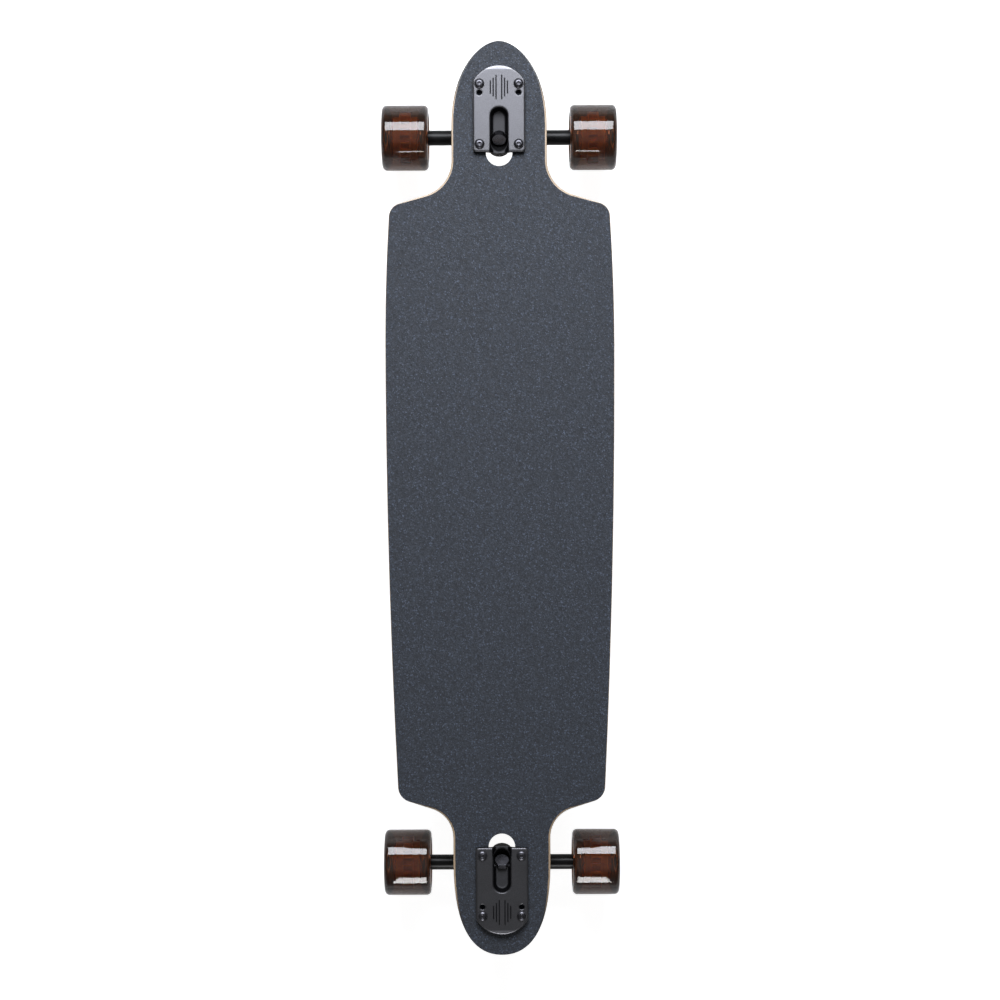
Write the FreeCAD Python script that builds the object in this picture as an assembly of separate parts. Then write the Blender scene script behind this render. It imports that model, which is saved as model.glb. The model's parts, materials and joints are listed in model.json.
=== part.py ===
"""Drop-through longboard: a pressed wood deck on two reverse-kingpin trucks with four urethane wheels.

The board's own frame is in millimetres. +Z is up, +Y points to the nose and +X to the right.
The origin is on the ground, under the middle of the deck.
"""
import FreeCAD, Part
import math
import os

from FreeCAD import Placement, Rotation
from FreeCAD import Vector as V

os.makedirs("parts", exist_ok=True)

# Deck
DECK_LENGTH = 965.0
DECK_WIDTH = 241.4
DECK_THICKNESS = 10.0
WIDEST_TO_SHOULDER = 135.0
FRONT_SHOULDER_TO_TRUCK = 107.1
REAR_SHOULDER_TO_TRUCK = 103.5
FRONT_SHOULDER_WIDTH = 233.0
REAR_SHOULDER_WIDTH = 218.4
SHOULDER_ANGLE = 18.3
FRONT_CORNER_RADIUS = 15.0
REAR_CORNER_RADIUS = 17.0
FRONT_NECK_WIDTH = 100.8
REAR_NECK_WIDTH = 102.4
FRONT_NECK_FILLET = 38.0
REAR_NECK_FILLET = 32.0
NOSE_LENGTH = 88.5
NOSE_TIP_HANDLE = 20.0
NOSE_NECK_HANDLE = 58.0
TAIL_LENGTH = 97.5
TAIL_TIP_HANDLE = 42.0
TAIL_NECK_HANDLE = 46.0
CONCAVE_RISE = 6.0
CONCAVE_FLAT_WIDTH = 70.0
DECK_TOP_EDGE_RADIUS = 1.0
DECK_BOTTOM_EDGE_RADIUS = 3.0

# Grip tape
GRIP_THICKNESS = 0.8
GRIP_EDGE_INSET = 0.6
GRIP_NECK_INSET = 2.0
GRIP_PLATE_CUT = 0.3

# Truck position and geometry
NOSE_OVERHANG = 78.4
TAIL_OVERHANG = 74.3
TRUCK_HEIGHT = 66.0
AXLE_SETBACK = 14.0
PIVOT_ANGLE = 50.0
LEAN_LIMIT = 20.0

# Baseplate flange and bolts
PLATE_WIDTH = 55.0
PLATE_INNER_REACH = 40.0
PLATE_OUTER_REACH = 51.5
PLATE_OUTER_RADIUS = 31.5
PLATE_CORNER_RADIUS = 3.0
PLATE_THICKNESS = 6.5
PLATE_EDGE_RADIUS = 1.6
BOLT_SPACING_X = 41.275
BOLT_SPACING_Y = 63.5
SPARE_BOLT_SPACING_Y = 53.975
BOLT_HOLE_RADIUS = 2.75
BOLT_RADIUS = 2.4
BOLT_HEAD_RADIUS = 5.3
BOLT_HEAD_HEIGHT = 2.8
BOLT_HEAD_SIDE = 0.7
BOLT_SOCKET_FLATS = 3.2
BOLT_SOCKET_DEPTH = 1.8
BOLT_TIP = 1.5
NUT_FLATS = 9.5
NUT_HEIGHT = 5.5

# Kingpin slot in the plate and the cutout in the deck
SLOT_WIDTH = 19.4
SLOT_OUTER_REACH = 7.6
SLOT_FLOOR_WIDTH = 12.5
SLOT_DEPTH = 11.0
SLOT_FLOOR = 3.0
CUTOUT_WIDTH = 28.0
CUTOUT_OUTER_REACH = 14.0

# Baseplate boss, arm and pivot housing
BOSS_RADIUS = 13.5
ARM_WIDTH = 22.0
ARM_CLEARANCE = 1.2
ARM_END_RADIUS = 12.5
ARM_HEEL = 2.0
HOUSING_RADIUS = 8.4
HOUSING_FLOOR = 1.2

# Pivot
PIVOT_BALL_RADIUS = 4.0
PIVOT_NECK_RADIUS = 3.6
PIVOT_DISTANCE = 12.8
PIVOT_CUP_RADIUS = 6.2
PIVOT_CUP_FLOOR = 1.0
PIVOT_CLEARANCE = 0.1
HOUSING_RIM_GAP = 0.8

# Hanger
HANGER_WIDTH = 176.6
TUBE_MIDDLE_RADIUS = 9.3
TUBE_END_RADIUS = 8.15
TUBE_TAPER_LENGTH = 46.0
WEB_WIDTH = 84.0
WEB_THICKNESS = 9.0
WEB_BOW = 5.0
RING_DISTANCE = 36.0
RING_RADIUS = 16.5
RING_THICKNESS = 10.0
RING_BORE_RADIUS = 8.5
BUSHING_SEAT_DEPTH = 1.5
BUSHING_SEAT_CLEARANCE = 0.4

# Kingpin stack
KINGPIN_RADIUS = 4.76
KINGPIN_CLEARANCE = 0.15
KINGPIN_FLATS = 14.3
KINGPIN_HEAD_HEIGHT = 6.0
KINGPIN_BOSS_LENGTH = 20.0
KINGPIN_HEAD_ROOM = 10.0
KINGPIN_TIP = 2.5
KINGPIN_NUT_HEIGHT = 8.5
BUSHING_RADIUS = 12.5
BOARDSIDE_BUSHING_HEIGHT = 15.0
ROADSIDE_BUSHING_HEIGHT = 13.0
ROADSIDE_BUSHING_TIP_RADIUS = 9.5
BUSHING_CHAMFER = 1.5
BUSHING_WASHER_RADIUS = 12.5
BUSHING_WASHER_THICKNESS = 1.5

# Axle
AXLE_RADIUS = 4.0
AXLE_CLEARANCE = 0.02
AXLE_TIP = 1.5
AXLE_NUT_FLATS = 12.7
AXLE_NUT_HEIGHT = 7.0
SPEED_WASHER_RADIUS = 6.0
SPEED_WASHER_THICKNESS = 1.0

# Wheel
WHEEL_DIAMETER = 70.0
WHEEL_WIDTH = 50.0
TYRE_LIP_RADIUS = 5.0
TYRE_CHEEK_RADIUS = 27.0
TYRE_DISH_SHARE = 0.33
CORE_RADIUS = 15.0
CORE_RIB_RADIUS = 18.5
CORE_RIB_WIDTH = 12.0
CORE_OVERHANG = 0.5
CORE_BORE_RADIUS = 9.6

# Bearing, a 608 size
BEARING_RADIUS = 11.0
BEARING_WIDTH = 7.0
BEARING_SPACING = 10.0
INNER_RING_RADIUS = 6.05
OUTER_RING_INNER_RADIUS = 9.3
BALL_RADIUS = 1.985
BALL_PITCH_RADIUS = 7.5
BALL_COUNT = 7
RACE_CLEARANCE = 0.06
SHIELD_THICKNESS = 0.35
SHIELD_RECESS = 0.2
SHIELD_GAP = 0.4
CAGE_POST_RADIUS = 1.1
CAGE_RING_THICKNESS = 0.6
CAGE_RING_WIDTH = 2.0
SPACER_RADIUS = 5.0

# Derived heights and places
FRONT_TRUCK_Y = DECK_LENGTH / 2 - NOSE_OVERHANG
REAR_TRUCK_Y = TAIL_OVERHANG - DECK_LENGTH / 2
FRONT_SHOULDER_Y = FRONT_TRUCK_Y - FRONT_SHOULDER_TO_TRUCK
REAR_SHOULDER_Y = REAR_TRUCK_Y + REAR_SHOULDER_TO_TRUCK
WIDEST_Y = FRONT_SHOULDER_Y - WIDEST_TO_SHOULDER
AXLE_Z = WHEEL_DIAMETER / 2
PLATE_TOP_Z = AXLE_Z + TRUCK_HEIGHT
DECK_TOP_Z = PLATE_TOP_Z - PLATE_THICKNESS - GRIP_THICKNESS
BOLT_GRIP = PLATE_THICKNESS + GRIP_THICKNESS + DECK_THICKNESS
WHEEL_CORE_HALF = BEARING_SPACING / 2 + BEARING_WIDTH
WHEEL_CENTRE_X = HANGER_WIDTH / 2 + SPEED_WASHER_THICKNESS + WHEEL_CORE_HALF
AXLE_HALF = WHEEL_CENTRE_X + WHEEL_CORE_HALF + SPEED_WASHER_THICKNESS + AXLE_NUT_HEIGHT + AXLE_TIP
CUTOUT_INNER_CENTRE = -PLATE_INNER_REACH

# Drawing aids: a hexagon's corner over its flats and its chamfer, a cubic's end radius over
# handle squared by rise, and the tolerances and overlaps of the cuts
HEX_CORNER = 1 / math.cos(math.pi / 6)
HEX_CHAMFER_ANGLE = 30.0
HEX_BITE = 0.05
CUBIC_END = 1.5
LEVEL_SLOPE = 0.5
TOLERANCE = 0.01
MARGIN = 10.0

# Distances along the kingpin from the hanger ring's middle, boardside positive
BUSHING_SEAT = RING_THICKNESS / 2 - BUSHING_SEAT_DEPTH
BOARDSIDE_WASHER = BUSHING_SEAT + BOARDSIDE_BUSHING_HEIGHT
BOSS_SEAT = BOARDSIDE_WASHER + BUSHING_WASHER_THICKNESS
KINGPIN_HEAD = BOSS_SEAT + KINGPIN_BOSS_LENGTH
ROADSIDE_WASHER = -BUSHING_SEAT - ROADSIDE_BUSHING_HEIGHT - BUSHING_WASHER_THICKNESS
KINGPIN_NUT = ROADSIDE_WASHER - KINGPIN_NUT_HEIGHT
KINGPIN_END = KINGPIN_NUT - KINGPIN_TIP

# Distances along the pivot line from the axle, towards the pivot
HOUSING_RIM = TUBE_MIDDLE_RADIUS + HOUSING_RIM_GAP
CUP_BOTTOM = PIVOT_DISTANCE + PIVOT_BALL_RADIUS + PIVOT_CLEARANCE + PIVOT_CUP_FLOOR
HOUSING_BOTTOM = CUP_BOTTOM + HOUSING_FLOOR

# The swivel frame: X across the board, Y along the pivot line to the ring, Z along the kingpin to the board
SWIVEL = Placement(V(0, -AXLE_SETBACK, -TRUCK_HEIGHT), Rotation(V(1, 0, 0), PIVOT_ANGLE))
AXLE_CENTRE = V(0, -AXLE_SETBACK, -TRUCK_HEIGHT)
TRUCKS = {
    "front": Placement(V(0, FRONT_TRUCK_Y, PLATE_TOP_Z), Rotation()),
    "rear": Placement(V(0, REAR_TRUCK_Y, PLATE_TOP_Z), Rotation(V(0, 0, 1), 180)),
}
X_AXIS = V(1, 0, 0)
Y_AXIS = V(0, 1, 0)
Z_AXIS = V(0, 0, 1)


def save(name, shape):
    """Write one node, and say how many solids it holds."""
    solids = shape.Solids
    out = solids[0] if len(solids) == 1 else Part.makeCompound(solids)
    print(f"{name}: {len(solids)} solid(s), {out.Volume:.1f} mm3, valid {out.isValid()}")
    out.exportStep(f"parts/{name}.step")


def placed(shape, placement):
    """A copy of a shape, moved by a placement."""
    copy = shape.copy()
    copy.Placement = placement.multiply(copy.Placement)
    return copy


def cylinder(radius, start, length, axis):
    """A cylinder from a point along an axis."""
    return Part.makeCylinder(radius, length, start, axis)


def ring(outer, inner, length, start, axis):
    """A washer or tube."""
    return cylinder(outer, start, length, axis).cut(cylinder(inner, start, length, axis))


def hexagon(flats, height, start=V(0, 0, 0)):
    """A hexagonal prism along Z."""
    radius = flats / 2 * HEX_CORNER
    points = [
        start + V(radius * math.cos(math.radians(60 * i)), radius * math.sin(math.radians(60 * i)), 0)
        for i in range(7)
    ]
    return Part.Face(Part.makePolygon(points)).extrude(V(0, 0, height))


def chamfered_hexagon(flats, height, start=V(0, 0, 0)):
    """A nut or bolt head: a hexagonal prism with its corners turned down at both ends."""
    corner = flats / 2 * HEX_CORNER
    drop = corner - flats / 2 + HEX_BITE
    chamfer = drop * math.tan(math.radians(HEX_CHAMFER_ANGLE))
    profile = [
        V(0, 0, 0), V(corner - drop, 0, 0), V(corner, 0, chamfer), V(corner, 0, height - chamfer),
        V(corner - drop, 0, height), V(0, 0, height), V(0, 0, 0),
    ]
    turned = Part.Face(Part.makePolygon(profile)).revolve(V(0, 0, 0), Z_AXIS, 360)
    turned.translate(start)
    return hexagon(flats, height, start).common(turned)


def turned_about_x(points):
    """A solid of revolution about X, from (x, r) points in order round its half section."""
    corners = [V(x, r, 0) for x, r in points]
    face = Part.Face(Part.makePolygon(corners + corners[:1]))
    return face.revolve(V(0, 0, 0), X_AXIS, 360)


def arc_between(centre, radius, start_angle, end_angle):
    """An arc about a centre, by angles in radians, with its two ends."""
    middle = (start_angle + end_angle) / 2
    points = [
        centre + V(radius * math.cos(a), radius * math.sin(a), 0) for a in (start_angle, middle, end_angle)
    ]
    return Part.Arc(*points).toShape(), points[0], points[-1]


def end_curve(neck_half_width, length, tip_handle, neck_handle, inset, neck_inset):
    """The nose or tail from the neck to the tip, with the tip's curvature following the inset."""
    neck = V(neck_half_width - neck_inset, DECK_LENGTH / 2 - length, 0)
    tip = V(0, DECK_LENGTH / 2 - inset, 0)
    crown = length - neck_handle
    tip_radius = CUBIC_END * tip_handle * tip_handle / crown
    handle = math.sqrt((tip_radius - inset) * (crown - inset) / CUBIC_END)
    curve = Part.BezierCurve()
    curve.setPoles([neck, neck + V(0, neck_handle, 0), tip + V(handle, 0, 0), tip])
    return curve.toShape(), neck


def outline_end(widest_y, shoulder, corner_radius, neck_half_width, neck_fillet, end_sizes, *insets):
    """The outline's right half from the widest point round the shoulder to the tip, as for the nose."""
    inset, neck_inset = insets
    run = shoulder.y - widest_y
    drop = DECK_WIDTH / 2 - shoulder.x
    side_radius = (run * run + drop * drop) / (2 * drop)
    lean = math.asin(run / side_radius)
    side_centre = V(DECK_WIDTH / 2 - side_radius, widest_y, 0)
    side, _, _ = arc_between(side_centre, side_radius - inset, 0, lean)

    slope = math.radians(SHOULDER_ANGLE)
    corner_centre = shoulder - V(math.cos(lean), math.sin(lean), 0) * corner_radius
    corner, _, flank_start = arc_between(corner_centre, corner_radius - inset, lean, math.pi / 2 - slope)

    reach = neck_half_width + neck_fillet - corner_centre.x
    rise = (corner_radius + neck_fillet - reach * math.sin(slope)) / math.cos(slope)
    fillet_centre = corner_centre + V(reach, rise, 0)
    fillet, flank_end, neck_start = arc_between(
        fillet_centre, neck_fillet + neck_inset, 1.5 * math.pi - slope, math.pi
    )
    curve, neck_end = end_curve(neck_half_width, *end_sizes, *insets)
    flank = Part.makeLine(flank_start, flank_end)
    return [side, corner, flank, fillet, Part.makeLine(neck_start, neck_end), curve]


def deck_outline(*insets):
    """The deck's outline as one closed wire at z = 0, drawn in by an inset all round and one at the necks."""
    front = outline_end(
        WIDEST_Y, V(FRONT_SHOULDER_WIDTH / 2, FRONT_SHOULDER_Y, 0), FRONT_CORNER_RADIUS,
        FRONT_NECK_WIDTH / 2, FRONT_NECK_FILLET, (NOSE_LENGTH, NOSE_TIP_HANDLE, NOSE_NECK_HANDLE), *insets,
    )
    rear = outline_end(
        -WIDEST_Y, V(REAR_SHOULDER_WIDTH / 2, -REAR_SHOULDER_Y, 0), REAR_CORNER_RADIUS,
        REAR_NECK_WIDTH / 2, REAR_NECK_FILLET, (TAIL_LENGTH, TAIL_TIP_HANDLE, TAIL_NECK_HANDLE), *insets,
    )
    right = front + [edge.mirror(V(0, 0, 0), Y_AXIS) for edge in rear]
    left = [edge.mirror(V(0, 0, 0), X_AXIS) for edge in right]
    return Part.Wire(Part.__sortEdges__(right + left))


def pressed_sheet(low, high):
    """The concave sheet between two heights above the deck's top, longer and wider than the deck."""
    flat = CONCAVE_FLAT_WIDTH / 2
    run = DECK_WIDTH / 2 - flat
    radius = (run * run + CONCAVE_RISE * CONCAVE_RISE) / (2 * CONCAVE_RISE)
    spread = math.asin((run + MARGIN) / radius)
    y = -DECK_LENGTH / 2 - MARGIN

    def rail(height, side):
        """The curved part of one surface, from the flat outwards."""
        points = []
        for angle in (0, spread / 2, spread):
            x = flat + (radius - height) * math.sin(angle)
            z = DECK_TOP_Z + radius - (radius - height) * math.cos(angle)
            points.append(V(side * x, y, z))
        return Part.Arc(*points).toShape(), points[0], points[-1]

    edges = []
    tips = {}
    for height in (low, high):
        right, right_root, tips[height, 1] = rail(height, 1)
        left, left_root, tips[height, -1] = rail(height, -1)
        edges += [right, left, Part.makeLine(left_root, right_root)]
    edges += [Part.makeLine(tips[low, side], tips[high, side]) for side in (1, -1)]
    section = Part.Face(Part.Wire(Part.__sortEdges__(edges)))
    return section.extrude(V(0, DECK_LENGTH + 2 * MARGIN, 0))


def upright_prism(wire, low, high):
    """A wire at z = 0 raised into a prism between two heights."""
    face = Part.Face(wire)
    face.translate(V(0, 0, low))
    return face.extrude(V(0, 0, high - low))


def plate_outline(grow=0.0):
    """The baseplate's outline in the truck's frame, rounded at the outer end."""
    half = PLATE_WIDTH / 2 + grow
    inner = -PLATE_INNER_REACH - grow
    outer = PLATE_OUTER_REACH + grow
    radius = PLATE_OUTER_RADIUS + grow
    shoulder_y = outer - radius + math.sqrt(radius * radius - half * half)
    corner = PLATE_CORNER_RADIUS + grow
    diagonal = corner * (1 - math.sqrt(0.5))
    edges = [Part.Arc(V(half, shoulder_y, 0), V(0, outer, 0), V(-half, shoulder_y, 0)).toShape()]
    for side in (1, -1):
        edges.append(Part.makeLine(V(side * half, shoulder_y, 0), V(side * half, inner + corner, 0)))
        edges.append(Part.Arc(
            V(side * half, inner + corner, 0),
            V(side * (half - diagonal), inner + diagonal, 0),
            V(side * (half - corner), inner, 0),
        ).toShape())
    edges.append(Part.makeLine(V(half - corner, inner, 0), V(-half + corner, inner, 0)))
    return Part.Wire(Part.__sortEdges__(edges))


def slot_outline(width, outer_reach, inner_centre):
    """A round-ended slot along Y in the truck's frame. Its inner end is round about inner_centre."""
    radius = width / 2
    outer_centre = outer_reach - radius
    edges = [
        Part.Arc(V(radius, outer_centre, 0), V(0, outer_reach, 0), V(-radius, outer_centre, 0)).toShape(),
        Part.Arc(
            V(radius, inner_centre, 0), V(0, inner_centre - radius, 0), V(-radius, inner_centre, 0)
        ).toShape(),
        Part.makeLine(V(radius, outer_centre, 0), V(radius, inner_centre, 0)),
        Part.makeLine(V(-radius, outer_centre, 0), V(-radius, inner_centre, 0)),
    ]
    return Part.Wire(Part.__sortEdges__(edges))


def cutout_prism(low, high):
    """The drop-through cutout in the truck's frame."""
    return upright_prism(slot_outline(CUTOUT_WIDTH, CUTOUT_OUTER_REACH, CUTOUT_INNER_CENTRE), low, high)


def bolt_places():
    """The four used bolt holes in the truck's frame."""
    return [
        V(side * BOLT_SPACING_X / 2, end * BOLT_SPACING_Y / 2, 0) for side in (-1, 1) for end in (-1, 1)
    ]


def bolt_holes(places):
    """The cylinders that cut holes for the bolts through the plate and the deck, in the truck's frame."""
    start = V(0, 0, -BOLT_GRIP - MARGIN)
    return [cylinder(BOLT_HOLE_RADIUS, place + start, BOLT_GRIP + 2 * MARGIN, Z_AXIS) for place in places]


def spare_hole_places():
    """The two unused holes of the plate's shorter bolt pattern."""
    y = SPARE_BOLT_SPACING_Y - BOLT_SPACING_Y / 2
    return [V(side * BOLT_SPACING_X / 2, y, 0) for side in (-1, 1)]


def rim_edges(plank, outline, upper):
    """The edges of the deck that run along its outline, above or below."""
    edges = []
    for edge in plank.Edges:
        halfway = (edge.FirstParameter + edge.LastParameter) / 2
        middle = edge.valueAt(halfway)
        level = abs(edge.tangentAt(halfway).z) < LEVEL_SLOPE
        above = middle.z > DECK_TOP_Z - TOLERANCE
        flat_point = Part.Vertex(V(middle.x, middle.y, 0))
        if level and above == upper and outline.distToShape(flat_point)[0] < TOLERANCE:
            edges.append(edge)
    return edges


def make_deck():
    """The pressed plank, rounded along its edges, with its cutouts and bolt holes."""
    outline = deck_outline(0, 0)
    sheet = pressed_sheet(-DECK_THICKNESS, 0)
    low = DECK_TOP_Z - DECK_THICKNESS - MARGIN
    high = DECK_TOP_Z + CONCAVE_RISE + MARGIN
    plank = upright_prism(outline, low, high).common(sheet)
    plank = plank.makeFillet(DECK_BOTTOM_EDGE_RADIUS, rim_edges(plank, outline, False))
    plank = plank.makeFillet(DECK_TOP_EDGE_RADIUS, rim_edges(plank, outline, True))
    for truck in TRUCKS.values():
        plank = plank.cut(placed(cutout_prism(-BOLT_GRIP - MARGIN, MARGIN), truck))
        for hole in bolt_holes(bolt_places()):
            plank = plank.cut(placed(hole, truck))
    return plank


def make_grip():
    """The grip tape, trimmed at the deck's edge and cut round each baseplate, with the patches under them."""
    trimmed = deck_outline(GRIP_EDGE_INSET, GRIP_NECK_INSET)
    low = DECK_TOP_Z - MARGIN
    high = DECK_TOP_Z + CONCAVE_RISE + MARGIN
    tape = upright_prism(trimmed, low, high).common(pressed_sheet(0, GRIP_THICKNESS))
    below = -PLATE_THICKNESS - GRIP_THICKNESS
    patch = upright_prism(plate_outline(), below, -PLATE_THICKNESS)
    patch = patch.cut([cutout_prism(below - MARGIN, MARGIN)] + bolt_holes(bolt_places()))
    patches = []
    for truck in TRUCKS.values():
        window = upright_prism(plate_outline(GRIP_PLATE_CUT), below - MARGIN, MARGIN)
        tape = tape.cut(placed(window, truck))
        tape = tape.cut(placed(cutout_prism(below - MARGIN, MARGIN), truck))
        patches.append(placed(patch, truck))
    return Part.makeCompound([tape] + patches)


def swivel_point(along, off):
    """A point of the truck's middle plane, from its distances along and off the pivot line."""
    return SWIVEL.multVec(V(0, along, off))


def make_arm():
    """The baseplate's web from the flange down to the pivot housing."""
    half = ARM_WIDTH / 2
    face_off = TUBE_MIDDLE_RADIUS + half * math.sin(math.radians(LEAN_LIMIT)) + ARM_CLEARANCE
    bushing_wall = RING_DISTANCE - BUSHING_RADIUS - ARM_CLEARANCE
    core = HOUSING_RADIUS / 2
    root = -PLATE_THICKNESS / 2
    heel = swivel_point(-HOUSING_BOTTOM, HOUSING_RADIUS + ARM_HEEL)
    boss_foot = swivel_point(RING_DISTANCE, BOSS_SEAT + BOSS_RADIUS)
    points = [
        V(0, boss_foot.y, root),
        swivel_point(RING_DISTANCE, BOSS_SEAT + ARM_CLEARANCE),
        swivel_point(bushing_wall, BOSS_SEAT),
        swivel_point(bushing_wall, face_off),
        swivel_point(-HOUSING_RIM, face_off),
        swivel_point(-HOUSING_RIM, core),
        swivel_point(-HOUSING_BOTTOM, core),
        heel,
        V(0, heel.y, root),
    ]
    points = [V(-half, p.y, p.z) for p in points]
    web = Part.Face(Part.makePolygon(points + points[:1])).extrude(V(ARM_WIDTH, 0, 0))
    reach = 2 * TRUCK_HEIGHT
    round_y = heel.y + ARM_HEEL / 2 + ARM_END_RADIUS
    end = cylinder(ARM_END_RADIUS, V(0, round_y, -reach), reach, Z_AXIS)
    rest = Part.makeBox(ARM_WIDTH, reach, reach, V(-half, round_y, -reach))
    return web.common(end.fuse(rest))


def make_baseplate():
    """The cast plate with its kingpin boss, pivot arm, slot and holes, in the truck's frame."""
    flange = upright_prism(plate_outline(), -PLATE_THICKNESS, 0)
    rim = [e for e in flange.Edges if all(abs(v.Z) < TOLERANCE for v in e.Vertexes)]
    flange = flange.makeFillet(PLATE_EDGE_RADIUS, rim)
    reach = TRUCK_HEIGHT
    boss = placed(cylinder(BOSS_RADIUS, V(0, RING_DISTANCE, BOSS_SEAT), reach, Z_AXIS), SWIVEL)
    room = Part.makeBox(
        PLATE_WIDTH, PLATE_INNER_REACH + PLATE_OUTER_REACH, reach,
        V(-PLATE_WIDTH / 2, -PLATE_INNER_REACH, -PLATE_THICKNESS / 2 - reach),
    )
    housing = placed(
        cylinder(HOUSING_RADIUS, V(0, -HOUSING_BOTTOM, 0), HOUSING_BOTTOM - HOUSING_RIM, Y_AXIS), SWIVEL
    )
    wall = BOSS_RADIUS - SLOT_WIDTH / 2
    tub = slot_outline(2 * BOSS_RADIUS, SLOT_OUTER_REACH + wall, BOSS_RADIUS - PLATE_INNER_REACH)
    tub = upright_prism(tub, -SLOT_DEPTH - SLOT_FLOOR, -PLATE_THICKNESS / 2)
    plate = flange.fuse([boss.common(room), tub, make_arm(), housing]).removeSplitter()

    draft = (SLOT_WIDTH - SLOT_FLOOR_WIDTH) / 2
    mouth = slot_outline(SLOT_WIDTH, SLOT_OUTER_REACH, -PLATE_INNER_REACH)
    floor = slot_outline(SLOT_FLOOR_WIDTH, SLOT_OUTER_REACH - draft, -PLATE_INNER_REACH)
    floor.translate(V(0, 0, -SLOT_DEPTH))
    cuts = [Part.makeLoft([floor, mouth], True, True)]
    cuts.append(placed(cylinder(KINGPIN_HEAD_ROOM, V(0, RING_DISTANCE, KINGPIN_HEAD), reach, Z_AXIS), SWIVEL))
    shank = cylinder(KINGPIN_RADIUS + KINGPIN_CLEARANCE, V(0, RING_DISTANCE, 0), reach, Z_AXIS)
    cuts.append(placed(shank, SWIVEL))
    cup_room = cylinder(PIVOT_CUP_RADIUS, V(0, -CUP_BOTTOM, 0), CUP_BOTTOM, Y_AXIS)
    cuts.append(placed(cup_room, SWIVEL))
    for cut in cuts + bolt_holes(bolt_places() + spare_hole_places()):
        plate = plate.cut(cut)
    return plate.removeSplitter()


def make_pivot_cup():
    """The soft cup that the hanger's nub turns in, in the swivel frame."""
    ball_room = PIVOT_BALL_RADIUS + PIVOT_CLEARANCE
    cup = cylinder(PIVOT_CUP_RADIUS, V(0, -CUP_BOTTOM, 0), CUP_BOTTOM - HOUSING_RIM, Y_AXIS)
    bore = cylinder(ball_room, V(0, -PIVOT_DISTANCE, 0), PIVOT_DISTANCE, Y_AXIS)
    return cup.cut(bore.fuse(Part.makeSphere(ball_room, V(0, -PIVOT_DISTANCE, 0))))


def make_kingpin():
    """The hex-head bolt that carries the bushings, in the swivel frame."""
    shank = cylinder(KINGPIN_RADIUS, V(0, RING_DISTANCE, KINGPIN_END), KINGPIN_HEAD - KINGPIN_END, Z_AXIS)
    head = chamfered_hexagon(KINGPIN_FLATS, KINGPIN_HEAD_HEIGHT, V(0, RING_DISTANCE, KINGPIN_HEAD))
    return shank.fuse(head).removeSplitter()


def on_kingpin(radius, low, high):
    """A plain washer on the kingpin, in the swivel frame."""
    return ring(
        radius, KINGPIN_RADIUS + KINGPIN_CLEARANCE, high - low, V(0, RING_DISTANCE, low), Z_AXIS
    )


def make_kingpin_nut():
    """The lock nut under the roadside washer, in the swivel frame."""
    nut = chamfered_hexagon(KINGPIN_FLATS, KINGPIN_NUT_HEIGHT, V(0, RING_DISTANCE, KINGPIN_NUT))
    return nut.cut(cylinder(
        KINGPIN_RADIUS + AXLE_CLEARANCE, V(0, RING_DISTANCE, KINGPIN_NUT), KINGPIN_NUT_HEIGHT, Z_AXIS
    ))


def make_bushing_washers():
    """The washers at both ends of the bushing stack, in the swivel frame."""
    return Part.makeCompound([
        on_kingpin(BUSHING_WASHER_RADIUS, low, low + BUSHING_WASHER_THICKNESS)
        for low in (BOARDSIDE_WASHER, ROADSIDE_WASHER)
    ])


def make_bushing(height, base_radius, tip_radius, base, direction):
    """A turned urethane bushing with a chamfer at both ends, in the swivel frame."""
    bore = KINGPIN_RADIUS + KINGPIN_CLEARANCE
    profile = [
        (bore, 0), (base_radius - BUSHING_CHAMFER, 0), (base_radius, BUSHING_CHAMFER),
        (tip_radius, height - BUSHING_CHAMFER), (tip_radius - BUSHING_CHAMFER, height), (bore, height),
    ]
    corners = [V(r, 0, direction * h) for r, h in profile]
    solid = Part.Face(Part.makePolygon(corners + corners[:1])).revolve(V(0, 0, 0), Z_AXIS, 360)
    solid.translate(V(0, RING_DISTANCE, base))
    return solid


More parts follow.
